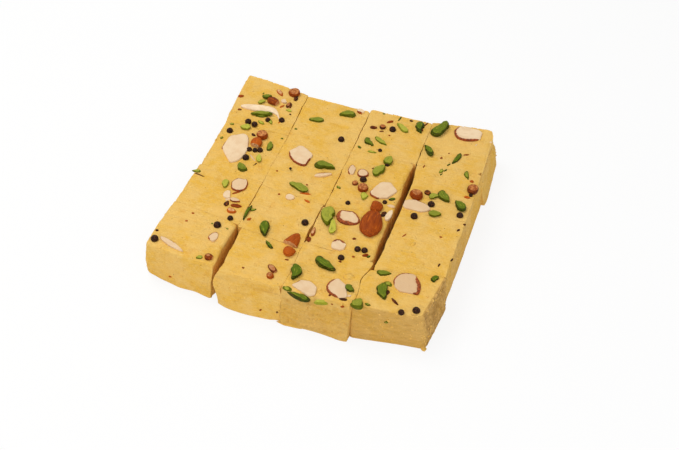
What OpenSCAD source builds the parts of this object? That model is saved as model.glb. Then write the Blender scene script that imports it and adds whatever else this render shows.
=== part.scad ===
// A slab of soan papdi, cut by hand into four rows of four blocks and strewn with nuts and seeds.
// Millimetres. X runs right along the front, Y to the back and Z up, from the middle of the slab's foot.

/* [Slab] */
// Width of the whole slab at its foot, left to right
slab_w = 174; // [150:1:200]
// Depth of the whole slab at its foot, front to back
slab_d = 174; // [150:1:200]
// Height of the tallest block
slab_h = 26; // [21:0.5:34]

/* [Cuts and edges] */
// Width of a long cut, front to back, where the blocks have not slid apart
long_cut_w = 0.6; // [0.4:0.1:1.2]
// Width of a cross cut, side to side
cross_cut_w = 0.4; // [0.3:0.1:1]
// Radius of the slab's own upright corners
slab_corner_r = 4; // [2.5:0.5:7]
// Radius of a block's upright corners where cuts meet
cut_corner_r = 1.2; // [0.6:0.1:2]
// Rounding along the slab's outer top edges
top_edge_r = 1.6; // [0.8:0.1:2.4]
// How far a block's top edges draw in along the cuts
cut_edge_w = 0.5; // [0.2:0.05:0.55]
// Chamfer along the foot
foot_chamfer = 0.6; // [0.3:0.1:1.2]
// How far the slab's outer sides bulge half way up
side_bulge = 0.8; // [0.2:0.1:1.6]

/* [Toppings] */
// Length of a whole almond
almond_l = 22; // [18:0.5:24]
// Width of a whole almond
almond_w = 13; // [10:0.5:14]
// Thickness of a whole almond
almond_t = 7; // [5:0.5:9]
// Thickness of an almond slice
slice_t = 1.8; // [1.2:0.1:2.6]
// Length of a pistachio kernel
pistachio_l = 12; // [10:0.5:13]
// Width of a pistachio kernel
pistachio_w = 6; // [4.5:0.25:6.5]
// Diameter of a black seed
seed_d = 4.1; // [3.6:0.1:5]
// Diameter of a round brown nut
round_nut_d = 8; // [6:0.5:8.5]
// Room round each topping in the hollow that it has pressed into the sweet
seat_gap = 0.1; // [0.05:0.05:0.2]

/* [Hidden] */
$fn = 28;
sweet_colour = [0.91, 0.74, 0.42];
slice_colour = [0.97, 0.88, 0.74];
skin_colour = [0.55, 0.26, 0.12];
pistachio_colour = [0.45, 0.55, 0.18];
seed_colour = [0.12, 0.09, 0.08];

// Steps along an upright corner, round a top edge, round an almond and along one
corner_steps = 3;
edge_steps = 3;
around_steps = 12;
along_steps = 7;

// The five lines that run front to back: the left edge, three cuts and the right edge. Each has one entry a
// row, from the back row on: where the line lies at the row's back and front, as shares of the slab's width
// from its middle, and then, at the same two ends, how far the blocks have slid apart there, or on an outer
// edge how far the foot stands out past the top.
long_shares = [
    [[-0.494, -0.476, 0.006, 0.010], [-0.474, -0.467, 0.009, 0.010],
     [-0.471, -0.477, 0.011, 0.010], [-0.480, -0.486, 0.010, 0.014]],
    [[-0.242, -0.234, 0, 0], [-0.234, -0.234, 0, 0],
     [-0.234, -0.237, 0, 0.004], [-0.233, -0.234, 0.017, 0.016]],
    [[0.004, 0.005, 0.002, 0.001], [0.004, 0.002, 0, 0.002],
     [-0.004, -0.008, 0, 0], [-0.010, -0.005, 0.002, 0.001]],
    [[0.237, 0.239, 0, 0.002], [0.238, 0.238, 0.009, 0.021],
     [0.237, 0.231, 0.023, 0.019], [0.232, 0.216, 0, 0]],
    [[0.448, 0.454, 0.041, 0.046], [0.460, 0.468, 0.023, 0.010],
     [0.470, 0.463, 0.009, 0.007], [0.464, 0.431, 0.016, 0.026]],
];
// Where the columns part, as shares of the slab's width from its middle
column_shares = [-0.480, -0.235, 0, 0.240, 0.470];
// The five lines that run side to side: the back edge, three cuts and the front edge. Each has one entry a
// column, from the left one on: how far back it lies where the column begins and ends, as shares of the
// slab's depth from its middle, and then how far the foot stands out past the top at the same two places.
cross_shares = [
    [[0.491, 0.454, 0.009, 0.009], [0.448, 0.440, 0.008, 0.008],
     [0.454, 0.454, 0.008, 0.008], [0.460, 0.489, 0.008, 0.011]],
    [[0.213, 0.213, 0, 0], [0.224, 0.218, 0, 0], [0.218, 0.218, 0, 0], [0.218, 0.245, 0, 0]],
    [[-0.026, -0.046, 0, 0], [-0.055, -0.078, 0, 0], [-0.087, -0.036, 0, 0], [-0.016, 0.001, 0, 0]],
    [[-0.225, -0.259, 0, 0], [-0.266, -0.295, 0, 0], [-0.263, -0.276, 0, 0], [-0.305, -0.256, 0, 0]],
    [[-0.441, -0.460, 0.005, 0.008], [-0.460, -0.460, 0.028, 0.032],
     [-0.460, -0.460, 0.034, 0.038], [-0.460, -0.443, 0.013, 0.001]],
];
// Each block's height as a share of the slab's, by row from the back and column from the left
height_shares = [
    [1.000, 0.990, 0.985, 0.980],
    [0.990, 1.000, 0.980, 0.985],
    [0.995, 0.985, 0.990, 0.995],
    [0.990, 0.985, 0.975, 0.980],
];

// How deep a topping has sunk in, as a share of its thickness, and how far an almond narrows to its tip
sunk_share = 0.4;
tip_share = 0.22;
// How far along its half length an almond is drawn before its end is flat
end_share = 0.97;

// Almond slices. Each entry holds its block, its place from the block's left and front edges as shares of the
// block's width and depth, its turn in degrees, and its length and width as shares of a whole almond's.
slice_shares = [
    ["r1c1", 0.50, 0.43, 8, 1.00, 0.34], ["r1c1", 0.712, 0.675, 0, 0.18, 0.26],
    ["r2c1", 0.31, 0.495, 94, 1.20, 1.04],
    ["r3c1", 0.72, 0.80, 80, 0.50, 0.68], ["r3c1", 0.64, 0.50, 100, 0.28, 0.36],
    ["r3c1", 0.785, 0.435, 0, 0.27, 0.22],
    ["r4c1", 0.80, 0.57, 80, 0.32, 0.35], ["r4c1", 0.31, 0.16, -20, 0.73, 0.20],
    ["r1c2", 0.875, 0.94, 0, 0.22, 0.24],
    ["r2c2", 0.34, 0.65, -55, 0.80, 1.00], ["r2c2", 0.785, 0.44, 29, 0.48, 0.20],
    ["r3c2", 0.495, 0.92, 0, 0.24, 0.30],
    ["r2c3", 0.145, 0.62, 100, 0.36, 0.32], ["r2c3", 0.32, 0.63, 0, 0.28, 0.46],
    ["r2c3", 0.75, 0.355, 72, 0.82, 1.05],
    ["r3c3", 0.435, 0.775, -15, 0.58, 0.75], ["r3c3", 0.966, 0.883, 82, 0.28, 0.16],
    ["r3c3", 0.463, 0.15, 0, 0.37, 0.62],
    ["r4c3", 0.30, 0.145, -8, 0.56, 0.64], ["r4c3", 0.715, 0.215, -45, 0.60, 0.88],
    ["r1c4", 0.64, 0.81, 8, 0.75, 0.92],
    ["r2c4", 0.20, 0.115, 0, 0.66, 0.60],
    ["r4c4", 0.547, 0.715, -40, 0.70, 1.00],
];
// Whole almonds and chunks in their brown skin, as above, and then which stretch of the almond it is, where
// -1 is the round end, 0 the middle and 1 the tip
chunk_shares = [
    ["r1c1", 0.88, 0.765, 95, 0.27, 0.22, -1, 1], ["r1c1", 0.59, 0.83, -45, 0.36, 0.23, -1, 1],
    ["r1c1", 0.56, 0.63, -20, 0.40, 0.45, -1, 0.6], ["r1c1", 0.81, 0.63, 90, 0.27, 0.30, -1, 0.7],
    ["r2c1", 0.61, 0.675, 90, 0.36, 0.50, -0.8, 0.8],
    ["r3c1", 0.70, 0.315, 90, 0.23, 0.22, -1, 1], ["r3c1", 0.845, 0.335, 10, 0.32, 0.22, -1, 1],
    ["r3c1", 0.825, 0.20, 0, 0.27, 0.30, -1, 1],
    ["r4c1", 0.86, 0.15, 0, 0.25, 0.38, -1, 0.7],
    ["r3c2", 0.83, 0.015, 78, 0.95, 0.72, 0.03, 1],
    ["r4c2", 0.86, 0.955, 84, 0.60, 0.60, -1, -0.03], ["r4c2", 0.755, 0.31, -35, 0.36, 0.30, -1, 0.7],
    ["r1c3", 0.15, 0.59, 10, 0.22, 0.23, -1, 1],
    ["r2c3", 0.70, 0.09, 0, 0.30, 0.50, -0.8, 0.8],
    ["r3c3", 0.81, 0.68, 95, 0.98, 0.96, -1, 1], ["r3c3", 0.045, 0.30, 95, 0.34, 0.20, -1, 1],
    ["r3c3", 0.040, 0.09, 95, 0.20, 0.18, -1, 1],
    ["r2c4", 0.305, 0.43, -30, 0.22, 0.30, -1, 1],
];
// Round brown nuts: block, place as above, and diameter as a share of the largest
round_nut_shares = [
    ["r1c1", 0.775, 0.88, 1.00],
    ["r2c1", 0.625, 0.86, 0.86],
    ["r4c2", 0.76, 0.14, 0.54],
    ["r1c3", 0.285, 0.645, 0.54],
    ["r2c3", 0.27, 0.445, 0.50], ["r2c3", 0.39, 0.345, 0.62],
    ["r2c4", 0.13, 0.34, 1.00], ["r2c4", 0.925, 0.65, 0.82],
];
// Pistachios and pieces of them: block, place and turn as above, length and width as shares of a whole
// kernel's, and how far down the front face it sits, as a share of the slab's height
pistachio_shares = [
    ["r1c1", 0.395, 0.67, 20, 0.42, 0.50, 0], ["r1c1", 0.39, 0.54, 40, 0.42, 0.45, 0],
    ["r1c1", 0.84, 0.52, 0, 0.33, 0.40, 0], ["r1c1", 0.47, 0.30, 16, 1.05, 0.62, 0],
    ["r2c1", 0.35, 0.93, 20, 0.42, 0.55, 0], ["r2c1", 0.83, 0.70, 100, 0.75, 0.70, 0],
    ["r2c1", 0.80, 0.37, 110, 0.50, 0.55, 0], ["r2c1", 0.605, 0.15, -40, 0.70, 0.95, 0],
    ["r3c1", 0.525, 0.71, 100, 0.60, 0.75, 0], ["r3c1", 0.02, 0.79, 15, 0.45, 0.45, 0],
    ["r4c1", 0.735, 0.09, 30, 0.33, 0.50, 0],
    ["r1c2", 0.705, 0.775, 15, 0.90, 1.00, 0], ["r1c2", 0.29, 0.465, 15, 0.85, 0.80, 0],
    ["r2c2", 0.745, 0.59, 5, 1.10, 1.10, 0], ["r2c2", 0.505, 0.12, -12, 1.00, 0.85, 0],
    ["r3c2", 0.035, 0.29, 88, 0.95, 0.32, 0], ["r3c2", 0.12, 0.40, 30, 0.30, 0.35, 0],
    ["r3c2", 0.38, 0.155, 110, 0.93, 0.95, 0],
    ["r4c2", 0.53, 0.84, -40, 0.62, 0.45, 0],
    ["r1c3", 0.585, 0.725, -38, 0.90, 0.75, 0], ["r1c3", 0.825, 0.81, 105, 0.92, 0.95, 0],
    ["r1c3", 0.185, 0.235, -40, 0.70, 0.80, 0], ["r1c3", 0.35, 0.32, -32, 0.90, 0.60, 0],
    ["r2c3", 0.607, 0.92, 75, 0.50, 0.80, 0], ["r2c3", 0.55, 0.685, 70, 0.78, 0.95, 0],
    ["r2c3", 0.485, 0.232, 100, 0.50, 0.80, 0],
    ["r3c3", 0.12, 0.725, 100, 1.08, 1.20, 0], ["r3c3", 0.295, 0.51, 105, 0.75, 0.65, 0],
    ["r4c3", 0.395, 0.645, -25, 1.15, 1.05, 0], ["r4c3", 0.078, 0.35, 98, 0.85, 0.95, 0],
    ["r4c3", 0.225, -0.015, -8, 1.25, 0.76, 0.14], ["r4c3", 0.57, -0.01, 20, 0.65, 0.60, 0.13],
    ["r4c3", 0.933, 0.265, -30, 0.38, 0.50, 0],
    ["r1c4", 0.134, 0.81, 68, 1.10, 1.20, 0], ["r1c4", 0.12, 0.30, -50, 0.80, 0.75, 0],
    ["r1c4", 0.603, 0.23, 75, 1.00, 0.60, 0],
    ["r2c4", 0.82, 0.88, 110, 0.66, 0.50, 0], ["r2c4", 0.566, 0.40, -50, 0.90, 1.15, 0],
    ["r2c4", 0.40, 0.345, 30, 0.36, 0.50, 0], ["r2c4", 0.86, 0.255, -40, 0.70, 0.90, 0],
    ["r2c4", 0.51, 0.065, 15, 0.50, 0.65, 0],
    ["r4c4", 0.90, 0.88, 60, 0.45, 0.75, 0], ["r4c4", 0.178, 0.885, 8, 0.72, 0.70, 0],
    ["r4c4", 0.31, 0.44, 108, 1.00, 1.05, 0], ["r4c4", 0.07, 0.03, 60, 0.50, 0.85, 0.02],
];
// Black seeds: block, place as above, and diameter as a share of a whole seed's
seed_shares = [
    ["r1c1", 0.61, 0.20, 0.85], ["r1c1", 0.81, 0.265, 0.95],
    ["r1c1", 0.315, 0.08, 1.00], ["r1c1", 0.447, 0.055, 0.95],
    ["r2c1", 0.14, 0.805, 1.00], ["r2c1", 0.568, 0.53, 0.82],
    ["r2c1", 0.672, 0.50, 0.82], ["r2c1", 0.785, 0.545, 0.88],
    ["r2c1", 0.585, 0.35, 1.05],
    ["r3c1", 0.865, 0.07, 0.85],
    ["r4c1", 0.755, 0.81, 1.10], ["r4c1", 0.066, 0.14, 1.10],
    ["r1c2", 0.785, 0.15, 1.00],
    ["r2c2", 0.29, 0.37, 0.60],
    ["r3c2", 0.885, 0.51, 1.05],
    ["r1c3", 0.45, 0.635, 1.05], ["r1c3", 0.40, 0.11, 0.65],
    ["r2c3", 0.385, 0.485, 1.05], ["r2c3", 0.30, 0.09, 0.75],
    ["r2c3", 0.623, 0.82, 0.72], ["r2c3", 0.88, 0.13, 0.70],
    ["r3c3", 0.756, 0.15, 0.92], ["r3c3", 0.875, 0.105, 0.92],
    ["r4c3", 0.565, 0.905, 0.95],
    ["r2c4", 0.408, 0.205, 1.05], ["r2c4", 0.88, 0.09, 1.00], ["r2c4", 0.955, 0.53, 0.60],
    ["r3c4", 0.222, 0.925, 1.05],
    ["r4c4", 0.70, 0.05, 0.92], ["r4c4", 0.875, 0.10, 1.05],
];

// Rows are counted from the back and columns from the left, both from nought inside the source
function block_name(r, c) = str("r", r + 1, "c", c + 1);
function entries(table, r, c) = [for (t = table) if (t[0] == block_name(r, c)) t];
function names(prefix, table) = [
    for (r = [0:3], c = [0:3]) if (len(entries(table, r, c)) > 0) str(prefix, block_name(r, c))
];
all_blocks = [for (r = [0:3], c = [0:3]) [block_name(r, c)]];

function mix(a, b, s) = a + (b - a) * s;
function unit(v) = v / norm(v);
function outward(a, b) = unit([b.y - a.y, a.x - b.x]);

// Where a block's side lies on a long line, at the back (end 0) or front (end 1) of a row. side is 1 for the
// block on the line's right and -1 for the one on its left, and level runs from 0 at the foot to 1 at the top.
function long_x(line, r, end, side, level) =
    let (entry = long_shares[line][r], x = entry[end] * slab_w, spread = entry[2 + end] * slab_w)
    line == 0 ? x - spread * (1 - level)
    : line == 4 ? x + spread * (1 - level)
    : x + side * (long_cut_w + spread) / 2;

// The point at x on a cross line of column c. side is 1 for the block behind the line.
function on_cross(line, c, x, side, level) =
    let (
        entry = cross_shares[line][c],
        along = (x / slab_w - column_shares[c]) / (column_shares[c + 1] - column_shares[c]),
        y = mix(entry[0], entry[1], along) * slab_d,
        spread = mix(entry[2], entry[3], along) * slab_d
    )
    [x, line == 0 ? y + spread * (1 - level)
        : line == 4 ? y - spread * (1 - level)
        : y + side * cross_cut_w / 2];

// A block's corners at a level, in the order front left, front right, back right, back left
function corners(r, c, level) = [
    on_cross(r + 1, c, long_x(c, r, 1, 1, level), 1, level),
    on_cross(r + 1, c, long_x(c + 1, r, 1, -1, level), 1, level),
    on_cross(r, c, long_x(c + 1, r, 0, -1, level), -1, level),
    on_cross(r, c, long_x(c, r, 0, 1, level), -1, level),
];
// Which of a block's sides are the slab's own: front, right, back, left
function outer_sides(r, c) = [r == 3, c == 3, r == 0, c == 0];

// Corner i of a quadrilateral whose sides have moved out by the lengths in out
function moved_corner(p, i, out) =
    let (h = (i + 3) % 4, j = (i + 1) % 4, m = outward(p[h], p[i]), n = outward(p[i], p[j]))
    p[i] + [out[h] * n.y - out[i] * m.y, m.x * out[i] - n.x * out[h]] / (m.x * n.y - m.y * n.x);

// The arc that rounds corner q between its neighbours a and b
function arc(a, q, b, r) =
    let (
        to_a = unit(a - q),
        to_b = unit(b - q),
        half = acos(to_a * to_b) / 2,
        middle = q + unit(to_a + to_b) * r / sin(half),
        first = q + to_a * r / tan(half) - middle,
        start = atan2(first.y, first.x)
    )
    [for (k = [0:corner_steps]) middle + r * [cos(start + k * (180 - 2 * half) / corner_steps),
                                              sin(start + k * (180 - 2 * half) / corner_steps)]];

function block_h(r, c) = slab_h * height_shares[r][c];
// How far a side draws in at height z, at the foot's chamfer and round the top edge
function inset(z, h, edge_w) =
    z < foot_chamfer ? foot_chamfer - z
    : z > h - top_edge_r ? edge_w * (1 - cos(asin(min((z - h) / top_edge_r + 1, 1))))
    : 0;
function ring(r, c, z) =
    let (
        h = block_h(r, c),
        p = corners(r, c, z / h),
        outer = outer_sides(r, c),
        outer_in = inset(z, h, top_edge_r),
        cut_in = inset(z, h, cut_edge_w),
        bulge = side_bulge * sin(180 * z / h),
        out = [for (is_outer = outer) is_outer ? bulge - outer_in : -cut_in],
        q = [for (i = [0:3]) moved_corner(p, i, out)],
        radii = [for (i = [0:3]) outer[i] && outer[(i + 3) % 4]
            ? max(slab_corner_r - outer_in, slab_corner_r / 3)
            : max(cut_corner_r - cut_in, cut_corner_r / 3)]
    )
    [for (i = [0:3]) each [for (xy = arc(q[(i + 3) % 4], q[i], q[(i + 1) % 4], radii[i])) [xy.x, xy.y, z]]];

// A closed skin over rings that have the same number of points, the last ring on top
function skin_faces(rings, n) = concat(
    [[for (k = [0:n - 1]) k]],
    [for (i = [0:rings - 2], k = [0:n - 1]) each
        let (a = i * n + k, b = i * n + (k + 1) % n) [[a, a + n, b + n], [a, b + n, b]]],
    [[for (k = [0:n - 1]) (rings - 1) * n + n - 1 - k]]
);
module skin(rings) {
    polyhedron(points = [for (one = rings) each one], faces = skin_faces(len(rings), len(rings[0])));
}

module block(r, c) {
    h = block_h(r, c);
    heights = concat([0, foot_chamfer, h / 2],
                     [for (k = [0:edge_steps]) h - top_edge_r * (1 - sin(90 * k / edge_steps))]);
    skin([for (z = heights) ring(r, c, z)]);
}

// A topping's place on its block's top face, turned, with how far it lies below that face
module on_top(r, c, entry, turn = 0, drop = 0) {
    p = corners(r, c, 1);
    xy = mix(mix(p[0], p[1], entry[1]), mix(p[3], p[2], entry[1]), entry[2]);
    translate([xy.x, xy.y, block_h(r, c) - drop]) rotate([0, 0, turn]) children();
}

// How much of an almond's full width it has, a share s of its half length from the middle
function almond_share(s) = sqrt(1 - s * s) * (1 - tip_share * s);
function almond_outline(l, w) = [
    for (k = [0:2 * around_steps - 1]) let (a = 180 * k / around_steps)
        [cos(a) * l / 2, sin(a) * w / 2 * (1 - tip_share * cos(a))]
];

module slices(r, c, gap = 0) {
    for (s = entries(slice_shares, r, c))
        on_top(r, c, s, s[3], slice_t * sunk_share + gap)
            linear_extrude(slice_t + 2 * gap)
                polygon(almond_outline(s[4] * almond_l + 2 * gap, s[5] * almond_w + 2 * gap));
}

// An almond, from share from to share to of its half length, with its middle plane at z 0 and all its sides
// moved out by gap
module almond(l, w, t, from, to, gap) {
    first = max(from, -end_share) * l / 2 - gap;
    last = min(to, end_share) * l / 2 + gap;
    skin([for (i = [0:along_steps])
        let (x = mix(first, last, i / along_steps), fullness = almond_share(x / (l / 2 + gap)))
        [for (k = [0:around_steps - 1]) let (a = 360 * k / around_steps)
            [x, fullness * cos(a) * (w / 2 + gap), fullness * sin(a) * (t / 2 + gap)]]]);
}
module chunks(r, c, gap = 0) {
    for (s = entries(chunk_shares, r, c)) {
        thick = min(almond_t, s[5] * almond_w);
        on_top(r, c, s, s[3], (sunk_share - 0.5) * thick)
            almond(s[4] * almond_l, s[5] * almond_w, thick, s[6], s[7], gap);
    }
}

module round_nuts(r, c, gap = 0) {
    for (s = entries(round_nut_shares, r, c))
        on_top(r, c, s, 0, (sunk_share - 0.5) * s[3] * round_nut_d)
            sphere(d = s[3] * round_nut_d + 2 * gap);
}

// A kernel as a solid of revolution that lies along X
module kernel(l, w) {
    rotate([0, 90, 0]) rotate_extrude() polygon([
        for (k = [0:along_steps]) [sin(180 * k / along_steps) * w / 2, -cos(180 * k / along_steps) * l / 2]
    ]);
}
module kernels(r, c, gap = 0) {
    for (s = entries(pistachio_shares, r, c))
        on_top(r, c, s, s[3], (sunk_share - 0.5) * s[5] * pistachio_w + s[6] * slab_h)
            kernel(s[4] * pistachio_l + 2 * gap, s[5] * pistachio_w + 2 * gap);
}

module seed_balls(r, c, gap = 0) {
    for (s = entries(seed_shares, r, c))
        on_top(r, c, s, 0, (sunk_share - 0.5) * s[3] * seed_d)
            sphere(d = s[3] * seed_d + 2 * gap);
}

// One block of the sweet, with the hollows that its toppings have pressed into it
module piece(r, c) {
    color(sweet_colour) difference() {
        block(r, c);
        slices(r, c, seat_gap);
        chunks(r, c, seat_gap);
        round_nuts(r, c, seat_gap);
        kernels(r, c, seat_gap);
        seed_balls(r, c, seat_gap);
    }
}
module nuts(r, c) {
    color(slice_colour) slices(r, c);
    color(skin_colour) chunks(r, c);
    color(skin_colour) round_nuts(r, c);
}
module pistachios(r, c) {
    color(pistachio_colour) kernels(r, c);
}
module seeds(r, c) {
    color(seed_colour) seed_balls(r, c);
}

for (r = [0:3], c = [0:3]) {
    name = block_name(r, c);
    piece(r, c);
    nuts(r, c);
    pistachios(r, c);
    seeds(r, c);
}
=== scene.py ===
import math

import bmesh
import bpy
import numpy as np
from mathutils import Matrix, Vector
from mathutils.bvhtree import BVHTree
from mathutils.geometry import convex_hull_2d


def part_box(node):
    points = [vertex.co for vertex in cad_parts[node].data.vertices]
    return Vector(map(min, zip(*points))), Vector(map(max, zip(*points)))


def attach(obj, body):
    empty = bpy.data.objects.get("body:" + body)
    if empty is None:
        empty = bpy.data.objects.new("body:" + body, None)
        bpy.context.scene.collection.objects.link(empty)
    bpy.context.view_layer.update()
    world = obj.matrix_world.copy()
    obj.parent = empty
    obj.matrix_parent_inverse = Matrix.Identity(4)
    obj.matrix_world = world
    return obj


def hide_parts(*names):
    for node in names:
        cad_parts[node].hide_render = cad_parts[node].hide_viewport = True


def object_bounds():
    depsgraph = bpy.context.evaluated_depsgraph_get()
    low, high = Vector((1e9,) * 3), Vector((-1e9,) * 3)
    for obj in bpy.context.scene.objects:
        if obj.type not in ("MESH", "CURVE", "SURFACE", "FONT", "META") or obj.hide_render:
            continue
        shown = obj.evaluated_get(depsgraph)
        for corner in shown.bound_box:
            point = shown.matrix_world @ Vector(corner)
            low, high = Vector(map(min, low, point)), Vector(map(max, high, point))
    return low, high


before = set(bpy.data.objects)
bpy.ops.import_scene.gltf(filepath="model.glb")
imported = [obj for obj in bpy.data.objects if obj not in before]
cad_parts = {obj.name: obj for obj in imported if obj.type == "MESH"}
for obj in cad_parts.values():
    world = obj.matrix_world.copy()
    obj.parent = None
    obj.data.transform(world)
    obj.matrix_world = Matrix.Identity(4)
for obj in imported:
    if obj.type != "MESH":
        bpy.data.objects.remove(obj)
CAD_LOW, CAD_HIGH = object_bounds()

MM = 0.001
MERGE = 2e-6  # m, how near each other points of a CAD mesh are one point
VOXEL = 0.6  # mm, of the sweet's remeshed surface
BLOCKS = [(r, c) for r in range(1, 5) for c in range(1, 5)]
LAST = 4  # rows and columns
UP = np.array([0, 0, 1.0])
RAYS_FROM, FRONT_RAYS_FROM = 60, -150  # mm up, and mm from the back, where rays that find a surface start

# ---- camera
# The view that the photograph was fitted with: degrees, and metres from the point looked at
VIEW_AZIMUTH, VIEW_ELEVATION, VIEW_ROLL, VIEW_DISTANCE = 16.44, 45.72, 2.09, 0.63279
LOOK_AT = Vector((0.00617, -0.00227, 0.0))
LENS, SENSOR = 55.35, 36.0


def make_camera():
    azimuth, elevation, roll = (math.radians(a) for a in (VIEW_AZIMUTH, VIEW_ELEVATION, VIEW_ROLL))
    back = Vector((math.sin(azimuth) * math.cos(elevation), -math.cos(azimuth) * math.cos(elevation),
                   math.sin(elevation)))
    right = Vector((math.cos(azimuth), math.sin(azimuth), 0))
    up = back.cross(right)
    right, up = (math.cos(roll) * right + math.sin(roll) * up, math.cos(roll) * up - math.sin(roll) * right)
    data = bpy.data.cameras.new("camera")
    data.lens, data.sensor_width = LENS, SENSOR
    data.clip_start, data.clip_end = 0.01, 20
    camera = add_object("camera", data)
    turn = Matrix((right, up, back)).transposed().to_4x4()
    camera.matrix_world = Matrix.Translation(LOOK_AT + back * VIEW_DISTANCE) @ turn
    bpy.context.scene.camera = camera


# ---- numbers
def ease(low, high, x):
    t = np.clip((x - low) / (high - low), 0, 1)
    return t * t * (3 - 2 * t)


def bump(x, middle, width):
    return np.exp(-((x - middle) / width) ** 2)


def middle_of(points):
    return (points.min(0) + points.max(0)) / 2


def normalized(vectors):
    return vectors / np.linalg.norm(vectors, axis=1, keepdims=True)


def turned(degrees):
    """Turns rows of points round from above."""
    t = math.radians(degrees)
    return np.array([[math.cos(t), math.sin(t), 0], [-math.sin(t), math.cos(t), 0], [0, 0, 1]])


GRID = 40
grids = {}


def noise(points, size, seed):
    """Smooth noise from -1 to 1 at points, with lumps about size wide, both in mm."""
    if seed not in grids:
        grids[seed] = np.random.default_rng(seed).random((GRID, GRID, GRID)) * 2 - 1
    p = np.asarray(points) / size + 1000
    low = np.floor(p).astype(int)
    f = p - low
    x, y, z = (f * f * (3 - 2 * f)).T
    ends = low % GRID, (low + 1) % GRID

    def along_x(j, k):
        a, b = (grids[seed][ends[i][:, 0], ends[j][:, 1], ends[k][:, 2]] for i in (0, 1))
        return a * (1 - x) + b * x

    near, far = (along_x(0, k) * (1 - y) + along_x(1, k) * y for k in (0, 1))
    return near * (1 - z) + far * z


def chance(x, y, size, seed):
    """One value of noise."""
    return noise(np.array([[x, y, 0]]), size, seed)[0]


def line_noise(along, row, size, seed):
    """Noise along a line, another for each row."""
    return noise(np.stack([along, np.full(len(along), row), 0 * along], 1), size, seed)


def layered(points, size, seed, layers=3):
    """Noise with finer and finer noise added, from about -1 to 1."""
    return sum(0.5 ** k * noise(points, size / 2.1 ** k, seed + k) for k in range(layers)) / 1.4


# ---- meshes
def add_object(name, data):
    ob = bpy.data.objects.new(name, data)
    bpy.context.scene.collection.objects.link(ob)
    return ob


def vertex_array(mesh, normals=False):
    out = np.zeros(len(mesh.vertices) * 3, np.float32)
    (mesh.vertex_normals if normals else mesh.vertices).foreach_get("vector" if normals else "co", out)
    return out.reshape(-1, 3).astype(float)


def set_points(mesh, points):
    """Moves a mesh's vertices to points in mm."""
    mesh.vertices.foreach_set("co", (points * MM).astype(np.float32).ravel())
    mesh.update()


def set_attribute(mesh, name, values):
    values = np.asarray(values, np.float32)
    kind, key = ("FLOAT_VECTOR", "vector") if values.ndim == 2 else ("FLOAT", "value")
    mesh.attributes.new(name, kind, "POINT").data.foreach_set(key, values.ravel())


def in_cad_box(points):
    """Points in mm, held just inside the CAD model's box."""
    low, high = np.array(CAD_LOW) / MM + 0.01, np.array(CAD_HIGH) / MM - 0.01
    low[2] = 0
    return np.clip(points, low, high)


class Build:
    """Gathers closed shells, in mm, into one mesh with attributes for each vertex."""

    def __init__(self):
        self.points, self.faces, self.slots, self.values, self.count = [], [], [], {}, 0

    def add(self, points, faces, slot=0, **values):
        self.points.append(points)
        self.faces += [[i + self.count for i in f] for f in faces]
        self.slots += [slot] * len(faces)
        for key, value in values.items():
            value = np.asarray(value, float)
            self.values.setdefault(key, []).append(value if value.ndim else np.full(len(points), value))
        self.count += len(points)

    def make(self, name, materials):
        mesh = bpy.data.meshes.new(name)
        mesh.from_pydata((in_cad_box(np.vstack(self.points)) * MM).tolist(), [], self.faces)
        for key, values in self.values.items():
            set_attribute(mesh, key, np.concatenate(values))
        for material in materials:
            mesh.materials.append(material)
        mesh.polygons.foreach_set("material_index", self.slots)
        mesh.shade_smooth()
        return add_object(name, mesh)


def merged(node):
    """A CAD node's mesh, its doubled points merged."""
    work = bmesh.new()
    work.from_mesh(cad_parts[node].data)
    bmesh.ops.remove_doubles(work, verts=work.verts, dist=MERGE)
    return work


def islands(node):
    """The separate solids of a CAD node: for each, its points in mm and its triangles."""
    work = merged(node)
    found, seen = [], set()
    for first in work.verts:
        if first in seen:
            continue
        stack, members = [first], []
        seen.add(first)
        while stack:
            v = stack.pop()
            members.append(v)
            for w in [e.other_vert(v) for e in v.link_edges]:
                if w not in seen:
                    seen.add(w)
                    stack.append(w)
        place = {v: i for i, v in enumerate(members)}
        faces = {f: [place[v] for v in f.verts] for v in members for f in v.link_faces}
        found.append((np.array([v.co for v in members]) / MM, list(faces.values())))
    work.free()
    return sorted(found, key=lambda s: tuple(s[0].mean(0)))


def long_axis(points):
    """The direction in which a topping is longest, seen from above, towards its pointed end."""
    flat = points[:, :2] - middle_of(points[:, :2])
    axis = np.linalg.eigh(np.cov(flat.T))[1][:, 1]
    across = np.array([-axis[1], axis[0]])
    if ((flat @ axis) * (flat @ across) ** 2).mean() > 0:
        axis = -axis
    return np.array([*axis, 0])


def ring_faces(rings, around):
    """The faces of a ball: a pole, rings of points, and another pole."""
    def sides(ring):
        start = 1 + ring * around
        return [(start + k, start + (k + 1) % around) for k in range(around)]

    faces = [[0, b, a] for a, b in sides(0)]
    for ring in range(rings - 1):
        faces += [[a, b, b + around, a + around] for a, b in sides(ring)]
    return faces + [[1 + rings * around, a, b] for a, b in sides(rings - 1)]


def across_of(axis):
    return np.array([-axis[1], axis[0], 0])


def own(points, middle, axis):
    """Points along a topping's own axes, from its middle."""
    return np.stack([(points - middle) @ v for v in (axis, across_of(axis), UP)], 1)


def outward(local, axis):
    """Unit vectors for ways given along a topping's own axes."""
    return normalized(local @ np.array([axis, across_of(axis), UP]))


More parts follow.
